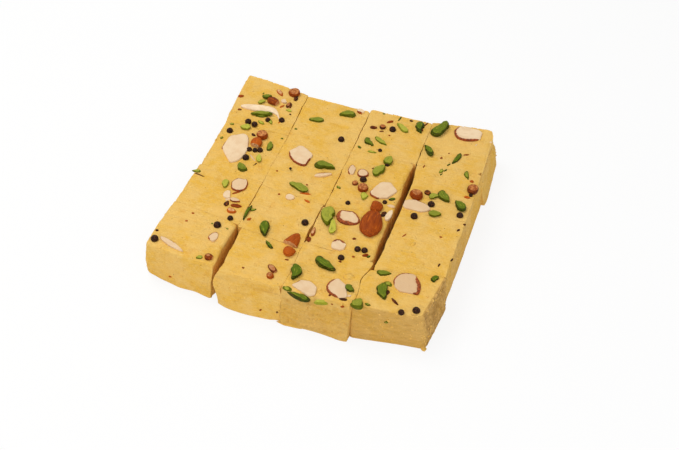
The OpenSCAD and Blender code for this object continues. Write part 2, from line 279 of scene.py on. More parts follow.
def shell(points, faces, along, around):
    """A grid laid over a CAD solid by rays from its middle, with poles at its two ends: points in mm, faces,
    the rays' ways along its own axes, which points lie on an end cut square, the points along its own axes,
    and its middle, long axis and half size."""
    tree = BVHTree.FromPolygons(points.tolist(), faces)
    middle, axis = middle_of(points), long_axis(points)
    half = np.abs(own(points, middle, axis)).max(0)
    angles = [(0.0, 0.0)] + [(math.pi * i / along, 2 * math.pi * k / around)
                             for i in range(1, along) for k in range(around)] + [(math.pi, 0.0)]
    unit = np.array([(-math.cos(t), math.sin(t) * math.cos(a), math.sin(t) * math.sin(a)) for t, a in angles])
    out, cut = np.zeros((len(unit), 3)), np.zeros(len(unit))
    for i, ray in enumerate(outward(unit * half, axis)):
        hit, normal, _, _ = tree.ray_cast(middle, ray)
        out[i] = hit if hit is not None else middle + ray * half.min()
        cut[i] = abs(Vector(axis).dot(normal)) > 0.97 if normal is not None else 0
    return out, ring_faces(along - 1, around), unit, cut, own(out, middle, axis), (middle, axis, half)


# ---- node materials
def srgb(*values):
    return tuple((v / 255 / 12.92 if v <= 10 else ((v / 255 + 0.055) / 1.055) ** 2.4) for v in values) + (1,)


class Paint:
    """A short way to write the nodes of a new material or world. Colours are sockets or three values up to 255."""

    def __init__(self, owner):
        owner.use_nodes = True
        self.owner, self.tree = owner, owner.node_tree
        self.tree.nodes.clear()
        self.place = self.node("TexCoord", output="Object")

    def node(self, kind, inputs=(), output=0, **props):
        """Makes a node and gives its output."""
        n = self.tree.nodes.new("ShaderNode" + kind)
        for key, value in props.items():
            setattr(n, key, value)
        for key, value in dict(inputs).items():
            if isinstance(value, bpy.types.NodeSocket):
                self.tree.links.new(value, n.inputs[key])
            else:
                n.inputs[key].default_value = value
        return n.outputs[output] if n.outputs else None

    def attribute(self, name, output="Fac"):
        return self.node("Attribute", output=output, attribute_name=name)

    def stretched(self, scale, turn=(0, 0, 0), place=None):
        return self.node("Mapping", {"Vector": place or self.place, "Scale": scale, "Rotation": turn})

    def noise(self, size, detail=2.0, rough=0.5, place=None, warp=0.0):
        """Noise with lumps about size mm wide, from 0 to 1."""
        return self.node("TexNoise", {"Vector": place or self.place, "Scale": 1 / (size * MM), "Detail": detail,
                                      "Roughness": rough, "Distortion": warp})

    def cells(self, size, feature="F1"):
        return self.node("TexVoronoi", {"Vector": self.place, "Scale": 1 / (size * MM)}, feature=feature)

    def math(self, what, a, b):
        return self.node("Math", {0: a, 1: b}, operation=what)

    def plus(self, a, b):
        return self.math("ADD", a, b)

    def times(self, a, b):
        return self.math("MULTIPLY", a, b)

    def step(self, value, low, high, to_low=0.0, to_high=1.0):
        """value from low..high to to_low..to_high, smoothly, held at the ends."""
        return self.node("MapRange", {"Value": value, "From Min": low, "From Max": high, "To Min": to_low,
                                      "To Max": to_high}, interpolation_type="SMOOTHSTEP")

    def mix(self, share, a, b):
        a, b = (srgb(*v) if isinstance(v, tuple) else v for v in (a, b))
        return self.node("Mix", {0: share, 6: a, 7: b}, 2, data_type="RGBA")

    def blend(self, a, b, value, low, high, most=1.0):
        """From colour a towards b as value goes from low to high, by the share most at the end."""
        return self.mix(self.step(value, low, high, 0, most), a, b)

    def finish(self, colour, rough, height, depth, strength, specular):
        """depth is how far, in mm, a height of 1 stands out."""
        normal = self.node("Bump", {"Height": height, "Distance": depth * MM, "Strength": strength})
        return self.show(self.node("BsdfPrincipled", {"Base Color": colour, "Roughness": rough, "Normal": normal,
                                                      "Specular IOR Level": specular}))

    def show(self, shader, kind="Material"):
        self.node("Output" + kind, {"Surface": shader})
        return self.owner

    def seen_directly(self):
        """1 for what the camera sees, also mirrored in the object or through it."""
        camera, glossy, through = (self.node("LightPath", output=f"Is {ray} Ray")
                                   for ray in ("Camera", "Glossy", "Transmission"))
        return self.math("MAXIMUM", self.math("MAXIMUM", camera, glossy), through)


def new_paint(name):
    return Paint(bpy.data.materials.new(name))


def sweet_material():
    p = new_paint("sweet")
    broad, middling = p.noise(17, 3, 0.55, warp=0.6), p.noise(4.2, 4, 0.6, warp=0.4)
    colour = p.blend((227, 176, 66), (231, 186, 100), broad, 0.36, 0.64)
    colour = p.blend(colour, (235, 194, 110), middling, 0.35, 0.75, 0.6)
    clouds = p.noise(7, 3, 0.6, p.stretched((1, 1, 2.4), (0.4, 0.2, 0.9)))
    colour = p.blend(colour, (218, 158, 58), clouds, 0.56, 0.76, 0.5)
    fibre_a = p.noise(2.2, 3, 0.65, p.stretched((0.3, 2.2, 2.6), (0.1, 0.1, 0.25)), 0.8)
    fibre_b = p.noise(2.0, 3, 0.65, p.stretched((0.3, 2.4, 2.4), (0.6, -0.3, -0.9)), 0.8)
    fibres = p.math("MAXIMUM", p.step(fibre_a, 0.5, 0.72), p.step(fibre_b, 0.52, 0.74))
    colour = p.mix(p.times(fibres, 0.32), colour, (244, 212, 136))
    grains = p.noise(0.8, 3, 0.7)
    colour = p.blend(colour, (204, 148, 56), grains, 0.52, 0.8, 0.55)
    colour = p.blend(colour, (248, 218, 144), grains, 0.46, 0.2, 0.6)
    # Painted shade: darker in the hollows of the surface
    colour = p.mix(p.times(p.attribute("painted_crease_shade"), 0.42), colour, (190, 130, 54))
    colour = p.mix(p.times(p.attribute("edge"), 0.4), colour, (248, 214, 130))
    # Painted shade on the slab's own sides that face away from the light, mottled where coarse; partly their own torn
    # colour
    side_shade_paint = p.attribute("side_shade_paint")
    mottled_side_shade = p.blend((150, 106, 50), (206, 162, 94), p.noise(3.0, 4, 0.72), 0.36, 0.64)
    layers = p.noise(2.4, 3, 0.6, p.stretched((0.35, 0.35, 1.6)))
    shaded_side_colour = p.blend((160, 114, 54), (190, 144, 78), layers, 0.35, 0.65)
    colour = p.mix(p.times(side_shade_paint, 0.75), colour, p.blend(shaded_side_colour, mottled_side_shade, side_shade_paint, 0.6, 0.9))
    # Cut walls: more orange from the top edge down, with knife streaks; partly the sweet's own colour inside, partly
    # painted light for the glow that bounces and shines through in the narrow cuts
    streaks = p.noise(1.5, 4, 0.65, p.stretched((1, 1, 0.3)), 0.3)
    wall = p.blend((222, 162, 76), (244, 194, 106), streaks, 0.32, 0.68)
    colour = p.mix(p.times(p.attribute("wall"), 0.8), colour, wall)
    chosen = p.math("GREATER_THAN", p.noise(11, 0), 0.5)
    specks = p.times(p.step(p.cells(4.4), 0.085, 0.05), p.times(chosen, 0.75))
    colour = p.mix(specks, colour, (120, 72, 30))
    height = p.plus(p.times(grains, 0.5), p.times(fibres, 0.35))
    height = p.plus(height, p.times(p.cells(1.3, "SMOOTH_F1"), -0.35))
    height = p.plus(height, p.times(middling, 0.6))
    return p.finish(colour, p.step(middling, 0.3, 0.7, 0.72, 0.88), height, 0.45, 0.9, 0.15)


def slice_material():
    """Blanched almond with its brown skin on the rim."""
    p = new_paint("almond_slice")
    grain = p.attribute("grain", "Vector")
    body = p.mix(p.attribute("shade"), (200, 158, 108), (246, 222, 186))
    body = p.blend(body, (218, 178, 132), p.noise(5, 3, 0.55, grain), 0.65, 0.35, 0.45)
    veins = p.noise(0.9, 3, 0.6, p.stretched((0.16, 1.4, 1), place=grain), 0.3)
    body = p.blend(body, (208, 168, 120), veins, 0.56, 0.74, 0.45)
    skin = p.blend((104, 42, 12), (170, 82, 30), p.noise(1.1, 3, 0.6), 0.35, 0.65)
    rim = p.attribute("rim")
    shown = p.step(p.plus(rim, p.times(p.math("SUBTRACT", p.noise(1.2, 3), 0.5), 0.7)), 0.42, 0.58)
    # Painted shade on the flesh along the brown rim
    body = p.blend(body, (204, 154, 98), rim, 0.05, 0.5, 0.3)
    height = p.plus(p.times(veins, 0.5), p.noise(0.6, 2))
    return p.finish(p.mix(shown, body, skin), p.step(shown, 0, 1, 0.5, 0.65), height, 0.12, 0.8, 0.25)


def skin_material():
    """Almonds and round nuts in their skins, and the flesh where they are broken: pale, or brown where rim is 1."""
    p = new_paint("almond_skin")
    grain, shade = p.attribute("grain", "Vector"), p.attribute("shade")
    dark = p.blend((40, 19, 6), (138, 56, 4), shade, 0.0, 0.5)
    base = p.blend(dark, (198, 94, 16), shade, 0.5, 1.0)
    streaks = p.noise(1.1, 4, 0.65, p.stretched((0.14, 1.3, 1.3), place=grain), 0.4)
    base = p.blend(base, (214, 112, 30), streaks, 0.5, 0.72, 0.6)
    base = p.blend(base, (84, 30, 2), streaks, 0.5, 0.3, 0.7)
    base = p.blend(base, (206, 130, 66), p.noise(0.7, 2), 0.58, 0.8, 0.2)
    flesh = p.blend((208, 144, 88), (232, 190, 140), p.noise(1.6, 3), 0.35, 0.7)
    flesh = p.mix(p.step(shade, 0.0, 0.6, 0.85, 0.15), flesh, (158, 84, 34))
    brown = p.blend((146, 70, 24), (208, 136, 72), p.noise(1.3, 3), 0.4, 0.65)
    flesh = p.mix(p.times(p.attribute("rim"), 0.85), flesh, brown)
    colour = p.blend(base, flesh, p.attribute("cut"), 0.5, 0.75)
    return p.finish(colour, 0.55, p.plus(streaks, p.times(p.noise(0.5, 2), 0.4)), 0.22, 0.9, 0.1)


def pistachio_material():
    p = new_paint("pistachio")
    grain, shade = p.attribute("grain", "Vector"), p.attribute("shade")
    skin = p.blend((36, 46, 0), (86, 94, 0), shade, 0.0, 0.55)
    skin = p.blend(skin, (158, 160, 44), shade, 0.5, 1.0)
    streaks = p.noise(0.9, 4, 0.6, p.stretched((0.2, 1.3, 1.3), place=grain), 0.4)
    skin = p.blend(skin, (134, 138, 20), streaks, 0.5, 0.7, 0.5)
    skin = p.blend(skin, (92, 56, 32), p.noise(2.2, 3), 0.56, 0.72, 0.5)
    flesh = p.blend((82, 102, 8), (190, 186, 70), shade, 0.0, 1.0)
    flesh = p.blend(flesh, (70, 86, 0), streaks, 0.52, 0.7, 0.55)
    flesh = p.blend(flesh, (196, 188, 58), streaks, 0.46, 0.3, 0.55)
    bared = p.plus(p.attribute("cut"), p.times(p.noise(0.9, 2), 0.4))
    return p.finish(p.blend(skin, flesh, bared, 0.55, 0.8), 0.55, p.plus(streaks, p.noise(0.5, 2)), 0.2, 0.9, 0.1)


def seed_material():
    p = new_paint("seed")
    ridges_and_highlights = p.noise(0.75, 2, 0.5, warp=0.8)
    # Painted highlights: lighter brown on the raised ridges and paler grey-brown flecks; the ridges also give the bump
    colour = p.blend((24, 12, 4), (84, 46, 22), ridges_and_highlights, 0.45, 0.7)
    colour = p.blend(colour, (132, 92, 66), p.noise(0.5, 1), 0.66, 0.8, 0.5)
    return p.finish(colour, 0.55, ridges_and_highlights, 0.3, 1.0, 0.12)


def floor_material():
    """White, with the soft shadow of the slab."""
    p = new_paint("floor")
    lit = p.node("BsdfDiffuse", {"Color": (0.9, 0.9, 0.9, 1)})
    white = p.node("Emission", {"Color": (1, 1, 1, 1), "Strength": 1.0})
    return p.show(p.node("MixShader", {0: p.times(p.seen_directly(), FLOOR_WHITE), 1: lit, 2: white}))


# ---- the sweet
def modified(mesh, kind, **settings):
    """A new mesh: this one after a modifier."""
    ob = add_object("modified", mesh)
    modifier = ob.modifiers.new(kind, kind)
    for key, value in settings.items():
        setattr(modifier, key, value)
    out = bpy.data.meshes.new_from_object(ob.evaluated_get(bpy.context.evaluated_depsgraph_get()))
    bpy.data.objects.remove(ob)
    return out


def remeshed(node):
    """The CAD node's surface as an even net of quads."""
    work = merged(node)
    source = bpy.data.meshes.new("source")
    work.to_mesh(source)
    work.free()
    out = modified(source, "REMESH", mode="VOXEL", voxel_size=VOXEL * MM, adaptivity=0)
    bpy.data.meshes.remove(source)
    return out


def smoothed_points(mesh, times):
    """A mesh's points in mm, smoothed."""
    out = modified(mesh, "SMOOTH", factor=0.5, iterations=times)
    points = vertex_array(out) / MM
    bpy.data.meshes.remove(out)
    return points


def free_sides(r, c):
    """Which of a block's left, right, front and back sides are the slab's own."""
    return np.array([c == 1, c == LAST, r == LAST, r == 1])


def side_lines(r, c):
    """How far out a block's left, right, front and back side lie, the slab's own ones half way up, and their
    outward ways."""
    points = vertex_array(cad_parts[f"piece_r{r}c{c}"].data) / MM
    height = points[:, 2].max()
    half_way = np.abs(points[:, 2] - height / 2) < 0.01
    wall = (points[:, 2] > 0.55) & (points[:, 2] < height - 1.55)
    found = []
    for way, is_free in zip(WAYS, free_sides(r, c)):
        band = points[half_way if is_free else wall]
        hull = band[convex_hull_2d(band[:, :2].tolist()), :2]
        ahead = np.roll(hull, -1, 0) - hull
        out = np.stack([ahead[:, 1], -ahead[:, 0]], 1)
        length = np.linalg.norm(out, axis=1)
        longest = np.argmax(np.where(out @ way > 0.8 * length, length, 0))
        way = out[longest] / length[longest]
        found.append((hull[longest] @ way, way))
    return [np.array(e) for e in zip(*found)]


WAYS = ((-1, 0), (1, 0), (0, -1), (0, 1))  # left, right, front, back
NEIGHBOUR = ((0, -1), (0, 1), (1, 0), (-1, 0))  # the row and column step over each side
# Where along each long cut (first, second, third) its hairline shows, from and to, and how wide, in mm
HAIRLINES = {1: [(44, 90, 0.36), (-36, -9, 0.36)],
             2: [(40, 90, 0.36), (-4, 18, 0.36), (-50, -10, 0.5), (-45, -31, 0.9)],
             3: [(35, 57, 0.36), (-66, -50, 0.36)]}
# The same for the cuts from side to side
CROSS_LINES = {1: [], 2: [(-90, -78, 0.16)], 3: [(1, 17, 0.16), (44, 53, 0.16)]}
# Where a long cut leans or bends to the left at the front: about where along it, over how far, and how far at the
# foot and at the top, in mm
BENDS = {1: [(-86, 8, -2.6, -0.3)], 2: [(-86, 8, -2.5, -2.9)], 3: [(-62, 8, -2.2, -2.2)]}
# Where a block's sides stand out or fall back: block and side, then where along the side, over how far, at
# which height, over how far, and how far out, in mm
PUSHES = {
    (4, 1, 2): [(-84, 6, 0, 7, -1.5), (-64, 6, 0, 5, 1.0), (-47, 5, 0, 5, 0.9)],
    (4, 1, 1): [(-84, 6, 5, 14, -2.0)],
    (4, 2, 0): [(-84, 5, 17, 6, 3.0), (-85, 5, 0, 6, -1.0), (-77, 5, 26, 8, -1.2)],
    (4, 4, 0): [(-49, 4, 26, 20, -1.4)], (3, 3, 1): [(-43, 5, 14, 60, 0.9)],
    (4, 2, 2): [(-24, 14, 0, 7, 1.3), (-4, 3, 0, 6, -1.0), (-41, 5, 0, 7, -1.5)],
    (2, 3, 1): [(24, 12, 26, 30, -1.1)], (2, 4, 0): [(20, 10, 26, 40, -0.8)],
    (4, 3, 2): [(18, 8, 0, 6, -0.6), (33, 3, 0, 5, 0.5)],
    (4, 4, 2): [(65, 14, 0, 6, -0.5)], (4, 4, 1): [(-66, 8, 12, 8, 0.9)],
    (1, 4, 1): [(76, 6, 16, 8, 1.6), (84, 4, 24, 6, -0.8), (43, 3, 12, 30, -0.8)],
    (1, 4, 3): [(65, 20, 24, 5, 0.8), (80, 4, 24, 6, -1.0)],
    (1, 1, 3): [(-70, 14, 24, 5, 0.9)], (1, 1, 0): [(70, 20, 24, 5, 0.4)], (4, 1, 0): [(-60, 14, 24, 5, 0.4)],
}
LEVEL = 25.7  # mm, the height that the blocks' tops are brought nearer to along the cuts
BAND = 2.5  # mm in from a cut, over which its edge is drawn out
# How coarsely each of the slab's own sides has torn
COARSE = {(4, 3, 2): 1.7, (4, 4, 1): 2.0, (4, 1, 2): 0.6, (4, 2, 2): 0.6, (4, 4, 2): 0.6, (3, 4, 1): 1.1}
# How much darker, painted shade each of the slab's own sides has, mottled where it is near 1; partly their own torn
# colour
PAINTED_SIDE_SHADE = {(4, 3, 2): 0.35, (4, 4, 1): 1.0, (4, 4, 2): 0.6, (3, 4, 1): 0.3}
CLOSED, HAIR = {True: 0.08, False: 0.03}, 3.0  # mm left in a closed cut, long or cross; how fast that varies
GAPE = 2.6  # mm, the width from which a cut is left open
SIDE = 3.5  # mm in from a block's side, to which its surface is taken to reach
NO_SIDE = 99.0


def close_cuts(r, c, points, depth, height, free):
    """A cut is wavy, nearly closed and has a crisp top edge; gives 1 where it gapes, for its round left edge."""
    reach, ways = LINES[r, c]
    lip = np.zeros(len(points))
    for k in np.flatnonzero(~free_sides(r, c)):
        is_long = k < 2
        along = points[:, 1 if is_long else 0]
        line = (c if k == 1 else c - 1) if is_long else 10 + (r if k == 2 else r - 1)
        d = depth[:, k]
        other_reach, other_ways = LINES[r + NEIGHBOUR[k][0], c + NEIGHBOUR[k][1]]
        gap = points[:, :2] @ other_ways[k ^ 1] - other_reach[k ^ 1] - d
        left = CLOSED[is_long]
        for low, high, wide in HAIRLINES[line] if is_long else CROSS_LINES[line - 10]:
            left = left + wide * ease(low - 4, low + 4, along) * ease(high + 4, high - 4, along)
        left = left * (1 + 0.5 * line_noise(along, line * 5.0, HAIR, 19))
        closed = ease(GAPE, GAPE / 2, gap)
        target = closed * (gap - left) / 2 + (1 - closed) * 0.15
        if k == 1:
            lip = (1 - closed) * ease(2.6, 0.2, d)
        if is_long and line == 1 and r == LAST:  # the first long cut gapes in the front row and closes again
            target = target + 0.2 * bump(along, -84, 5) - 0.8 * bump(along, -63, 12)
        drawn = np.maximum(BAND - (BAND - d) * (BAND + target) / (BAND - 0.5), -target)
        points[:, :2] += np.where(d < BAND, d - drawn, 0)[:, None] * ways[k]
        wave = 0.34 * line_noise(along, line * 9.0, 6, 17) + 0.12 * line_noise(along, line * 9.0, 1.6, 18)
        for middle, width, at_foot, at_top in BENDS[line] if is_long else ():
            wave = wave + bump(along, middle, width) * np.interp(points[:, 2], [0, height], [at_foot, at_top])
        points[:, 0 if is_long else 1] += wave * ease(6, 0, d) * (1 - 0.5 * free)
    return lip


def sweet(r, c, material):
    name = f"r{r}c{c}"
    mesh = remeshed("piece_" + name)
    points, normals = vertex_array(mesh) / MM, vertex_array(mesh, True)
    z = points[:, 2]
    height = z.max()
    reach, ways = LINES[r, c]
    depth = reach - points[:, :2] @ ways.T  # how far inside each side
    is_free = free_sides(r, c)
    cut_depth = np.where(is_free, NO_SIDE, depth).min(1)
    free_depth = np.where(is_free, depth, NO_SIDE).min(1)
    below = height - z
    free = ease(0.2, -0.2, (free_depth - 1.2) - np.maximum(cut_depth, 0))
    free = free * ease(4.0, 2.6, free_depth)  # 1 on the slab's own sides
    up = ease(0.4, 0.85, normals[:, 2])
    side = ease(0.35, 0.7, np.hypot(normals[:, 0], normals[:, 1])) * (np.minimum(cut_depth, free_depth) < SIDE)
    off_foot = ease(0.2, 2.0, z)
    coarse, painted_side_shade = np.full(len(points), 0.85), np.zeros(len(points))
    for k in range(4):
        coarse = np.where(depth[:, k] < SIDE, COARSE.get((r, c, k), coarse), coarse)
        painted_side_shade = np.where(depth[:, k] < SIDE, PAINTED_SIDE_SHADE.get((r, c, k), painted_side_shade), painted_side_shade)

    # The hollows under the toppings are filled, so that no broken topping shows one
    inside = (cut_depth > 0.9) & (free_depth > 1.8) & (below < 6.5)
    z[inside] = np.maximum(z[inside], height)
    below = height - z
    up = np.where(inside, 1, up)
    normals[inside] = UP
    # The tops meet along the cuts
    z += (LEVEL - height) * (0.25 + 0.75 * ease(10, 1, cut_depth)) * ease(height - 8, height, z)
    lip = close_cuts(r, c, points, depth, height, free)
    squared = np.interp(below, [0, 0.6, 1.2], [0, 0.12, 1.2])
    lift = np.where(below < 1.2, below - squared, 0) * ease(0.95, 0.6, cut_depth) * (1 - free)
    z += lift * (1 - lip) - 1.1 * lip ** 2 * ease(4, 0, below)
    # Along the slab's own edges the sweet has crumbled away here and there
    hidden = ease(3.5, 2.0, np.minimum(depth[:, 0] + 50 * (c > 1), depth[:, 3] + 50 * (r > 1)))
    near_edge = ease(3.4, 0.3, np.hypot(np.maximum(free_depth - 0.6, 0), below))
    crumbled = near_edge * np.maximum(0.15 + 0.8 * layered(points, 5.5, 11), -0.25) * coarse * (1 - 0.75 * hidden)
    out = np.where(is_free, np.exp(-np.maximum(depth, 0) / 1.5), 0) @ ways
    out /= np.maximum(np.linalg.norm(out, axis=1, keepdims=True), 1e-3)
    points[:, :2] -= out * (crumbled * 0.8)[:, None]
    z -= crumbled * 0.6
    for k in range(4):
        for middle, width, level, tall, far in PUSHES.get((r, c, k), ()):
            share = bump(points[:, 1 if k < 2 else 0], middle, width) * bump(z, level, tall)
            points[:, :2] += (far * share * ease(5, 1, depth[:, k]))[:, None] * ways[k]
    if r == LAST:  # the front's top edge is round
        set_points(mesh, points)
        share = ease(7.5, 3, np.hypot(np.maximum(depth[:, 2] - 2, 0), below)) \
            * (0.35 + 0.65 * ease(0, 2.5, cut_depth)) * np.where(coarse > 1, 0.15, 1)
        points[:, 1:] += (smoothed_points(mesh, 40) - points)[:, 1:] * share[:, None]

    ground = points * [1, 1, 0.5]
    spread = layered(ground * [0.2, 1, 1] + [0, 4.5, 0], 2.4, 21, 2)  # drawn out by the knife that spread it
    top = 0.26 * layered(ground, 19, 31) + 0.14 * layered(ground, 5.5, 35) + 0.08 * layered(ground, 1.7, 39) \
        + 0.07 * spread
    torn = coarse * (0.42 * layered(points, 12, 41) + 0.36 * layered(points * [1, 1, 1.7], 4.2, 45)
                     + (0.17 + 0.16 * (coarse > 1)) * layered(points, 1.5, 49)) - 0.28 + 0.5 * hidden
    torn = torn * (0.2 + 0.8 * ease(0.2, 2, cut_depth))
    knifed = 0.05 * layered(points * [1, 1, 0.4], 3.5, 51) - 0.04
    move = up * top * (1 - 0.3 * near_edge) + side * off_foot * (free * torn + (1 - free) * knifed)
    points = in_cad_box(points + normals * move[:, None])
    set_points(mesh, points)

    # How far each point lies in a hollow, for the painted shade in the hollows
    hollow = ((smoothed_points(mesh, 6) - points) * vertex_array(mesh, True)).sum(1)
    inner = 1 - side * (1 - free)
    set_attribute(mesh, "painted_crease_shade", ease(0.04, 0.25, hollow) * inner)
    set_attribute(mesh, "edge", ease(0.06, 0.3, -hollow) * (0.25 + 0.75 * free) * inner)
    # The cut walls' colour: partly the inside's own colour, partly painted light in the narrow cuts
    set_attribute(mesh, "wall", side * (1 - free) * ease(0.3, 3.5, height - points[:, 2])
                  * ease(0.5, 4, free_depth))
    # Painted shade, with some of their own mottled colour, on the slab's own sides listed in the table above
    set_attribute(mesh, "side_shade_paint", side * free * painted_side_shade)
    mesh.materials.append(material)
    mesh.shade_smooth()
    mesh.set_sharp_from_angle(angle=math.radians(48))
    mesh.name = "sweet_" + name
    tree = BVHTree.FromPolygons(points.tolist(), [tuple(q.vertices) for q in mesh.polygons])
    return add_object("sweet_" + name, mesh), tree, (ways, is_free, height)


# ---- the toppings
# They may look shifted from their solids: how far right and back, in mm, how much larger, and how far up
# Almond slices: about where each lies, in mm, where its brown rim shows (from and to, in degrees round from the
# right, and how wide it looks, in mm), straight breaks (way, share of its reach), how pale it is, how much larger
# its outline is than its solid's, and its shift
SLICES = [
    (-63, 56, [], [], 0.95, 1.12, 0.5, -1.3), (-54, 68, [], [(40, 0.7)], 0.6, 1),
    (-5, 77, [(200, 300, 0.3)], [], 0.75, 1),
    (65, 77, [(150, 330, 0.9)], [(0, 0.85), (92, 0.85)], 0.8, 1.1, 0.6, 1.2),
    (-69, 17, [(170, 215, 0.3)], [(80, 0.93), (222, 0.84), (178, 0.92), (120, 0.9)], 0.7, 1.12, 1.4, 1),
    (-26, 21, [(185, 345, 0.6)], [(58, 0.84), (150, 0.86), (355, 0.9)], 0.65, 1.02),
    (-8, 11, [(40, 190, 0.7)], [], 0.5, 1), (7, 20, [(60, 260, 0.4)], [(0, 0.8)], 0.45, 1.05, -0.4, 2),
    (14, 21, [(0, 360, 0.5)], [], 0.5, 1.08),
    (30, 9, [(190, 260, 0.3)], [(160, 0.85), (45, 0.8), (330, 0.72), (100, 0.92), (250, 0.86),
        (292, 0.85)], 0.6, 1.04, -0.1, 1.2), (51, 4, [(30, 100, 0.4)], [(180, 0.92), (270, 0.85)], 0.5, 1.12),
    (-56, -24, [], [(20, 0.7)], 0.65, 1), (-53, -13, [(0, 360, 0.35)], [(100, 0.85), (200, 0.9)], 0.55, 1.06),
    (-51, -27, [(180, 360, 0.3)], [], 0.4, 1), (-21, -12, [], [], 0.6, 1),
    (17, -19, [(0, 360, 0.8), (165, 310, 1.9)], [(100, 0.86)], 0.6, 1.1),
    (18, -40, [(40, 160, 1.2)], [(270, 0.86), (0, 0.9)], 0.7, 1, 0.7, -0.7), (38, -12, [], [], 0.75, 1.45, 0.4, 2.2),
    (-71, -71, [(20, 160, 0.3)], [], 0.6, 1.05, 1, -0.3), (-50, -58, [(60, 250, 0.4)], [(240, 0.8)], 0.5, 1.04),
    (11, -75, [(140, 170, 0.3)], [(96, 0.9), (5, 0.85), (250, 0.62), (144, 0.84)], 0.55, 1.2, -0.3, -2.4),
    (27, -72, [(130, 275, 0.8)], [(25, 0.66), (60, 0.9)], 0.55, 1.05, 0.9, 0.9),
    (61, -56, [(95, 200, 0.4), (-42, 58, 1.9)], [(275, 0.86)], 0.3, 1.04, 1.1, 0.2),
]
# Chunks and round nuts: about where each lies, from 0 dark to 1 pale, the share of its height that is broken away
# flat to show its flesh, and its shift
CHUNKS = [
    (-61, 66, 0.35, 0, 0.5, -1.8, 1.1, 1), (-60, 75, 0.75, 0.3), (-52, 76, 0.4, 0.35, 0.9, 1.4), (-50, 66, 0.1, 0.15),
    (-47, 70, 0, 0, -1.1, 2.8), (8, 63, 0.15, 0), (13, 66, 0, 0.3), (-57, 24, 0.8, 0, 0.6, 0.8, 1.12, 1),
    (-56, 32, 0.55, 0.35, 1, 0, 1.05, 1), (12, 11, 0.3, 0.4), (16, 7, 0.4, 0.35, 1.1, 1.3, 1.3, 1),
    (28, -5, 0.65, 0, 1.8, -1.2, 1.25, 1), (48, 13, 0.5, 0.2, 0.7, -0.3), (55, 17, 0, 0),
    (78, 28, 0.2, 0.3, 1.4, -0.9, 1.15, 1), (-54, -31, 0.05, 0), (-49, -36, 0.85, 0.3), (-48, -31, 0.4, 0),
    (-8, -46, 0.72, 0, 0.1, -1.4), (0, -45, 0.35, 0), (1, -36, 0.5, 0.25), (31, -20, 0.6, 0, -1, 1.5, 1.05, 1),
    (-48, -73, 0.3, 0.1, 1.4, 0), (-11, -71, 0.25, 0.25), (-10, -76, 0.7, 0.2), (-7, -56, 0.78, 0, 1, -1.8, 0.88, 1),
]
# The same for pistachios
KERNELS = [
    (-66, 68, 0.3, 0.2, 1.8, -0.8, 1.3, 1), (-68, 62, 0.7, 0.3, 0.3, -0.9, 1.1, 1),
    (-63, 52, 0.4, 0.2, 0.5, -1, 1.15, 1), (-49, 60, 0.85, 0.4), (-29, 58, 0.35, 0.4), (-12, 69, 0.35, 0.2),
    (9, 49, 0.2, 0.2), (15, 52, 0.6, 0.35), (24, 69, 0.75, 0.4), (34, 72, 0.1, 0.1, 0.9, 0.7),
    (46, 52, 0.15, 0.1, -0.7, 0.8, 1.1, 1), (46, 74, 0.2, 0.3, 1.2, 1.1, 1.25, 1), (64, 52, 0.1, 0.1, -0.5, 0.7),
    (-68, 35, 0.8, 0.4, -0.5, 1, 1.35, 1), (-57, 1, 0.3, 0.2), (-49, 10, 0.9, 0.4, -0.9, 1.5, 1.2, 1),
    (-48, 25, 0.3, 0.3), (-20, -5, 0.45, 0.4, 1.1, -0.2, 1.12, 1), (-10, 19, 0.3, 0.25), (21, 3, 0.85, 0.4),
    (24, 25, 0.5, 0.4, -0.5, 1.7, 1.2, 1), (26, 36, 0.5, 0.3, -0.1, 1, 1.3, 1), (59, 14, 0.55, 0.4, 0.4, 1.1, 1.4, 1),
    (63, 0, 0.4, 0.35, 0, -2, 1.3, 1), (65, 17, 0.25, 0.3), (73, 40, 0.35, 0.2, -0.5, 2.2),
    (76, 11, 0.15, 0.3, -0.5, 0.2, 1.12, 1), (-84, -11, 0.6, 0.3), (-60, -16, 0.75, 0.4),
    (-40, -35, 0.1, 0, -0.6, 0.7, 1.2, 1), (-37, -31, 0.4, 0.2, -1.7, 0.9), (-26, -43, 0.05, 0.2, 0.2, -1.8, 1.08, 1),
    (5, -22, 0.55, 0.35, 0.9, 0.1, 1.2, 1), (10, -28, 0.95, 0.45, -0.8, -0.3, 1.3, 1), (-51, -75, 0.6, 0.3, 1.4, 0),
    (-19, -53, 0.05, 0), (2, -69, 0.05, 0.3, -0.5, -1.1, 1.1, 1), (8, -83, 0.15, 0.1, 0, -1.4, 1, 0.6),
    (15, -58, 0.1, 0.1, 0.4, 0.3, 1.05, 1), (21, -84, 0.9, 0.4, 0, -1.4, 1.1, 0.4),
    (34, -71, 0.2, 0.2, -2, 1.1, 1.4, 1), (41, -80, 0.45, 0.3, -0.2, 0.2, 1.25, 1), (49, -54, 0.3, 0.2, 0.2, 1.8),
    (51, -66, 0.2, 0.35, -0.2, 0.6), (76, -48, 0.1, 0.1, -0.9, 1.3),
]
# Seeds that look shifted: about where each lies, and its shift
SEEDS = [
    (-69.9, 41, 1.1, -0.6), (-64.3, 39.8, 0.2, -0.4), (-54.4, 15.1, -0.7, 1.9), (-49.8, 16.9, -2.4, 1.1),
    (-28.7, 7.6, 0, 0, 0.7, 1), (15.9, 12.3, -0.8, 1.8), (25.4, 29.2, -0.4, 2.4), (34.8, -1.7, -2.2, 1.7),
    (-47.4, -41.4, 0.1, -1), (33.4, -43.2, -0.7, 2.2), (-81.6, -71.7, 0.5, 0.4), (-52.5, -50.4, 0.3, 0.6),
    (64.1, -76.9, 0.1, -1, 0.92, 1), (70.9, -74.7, 0.4, 1.4),
]


def shifted(points, right=0, back=0, larger=1, up=0):
    middle = middle_of(points)
    return middle + (points - middle) * larger + [right, back, up]


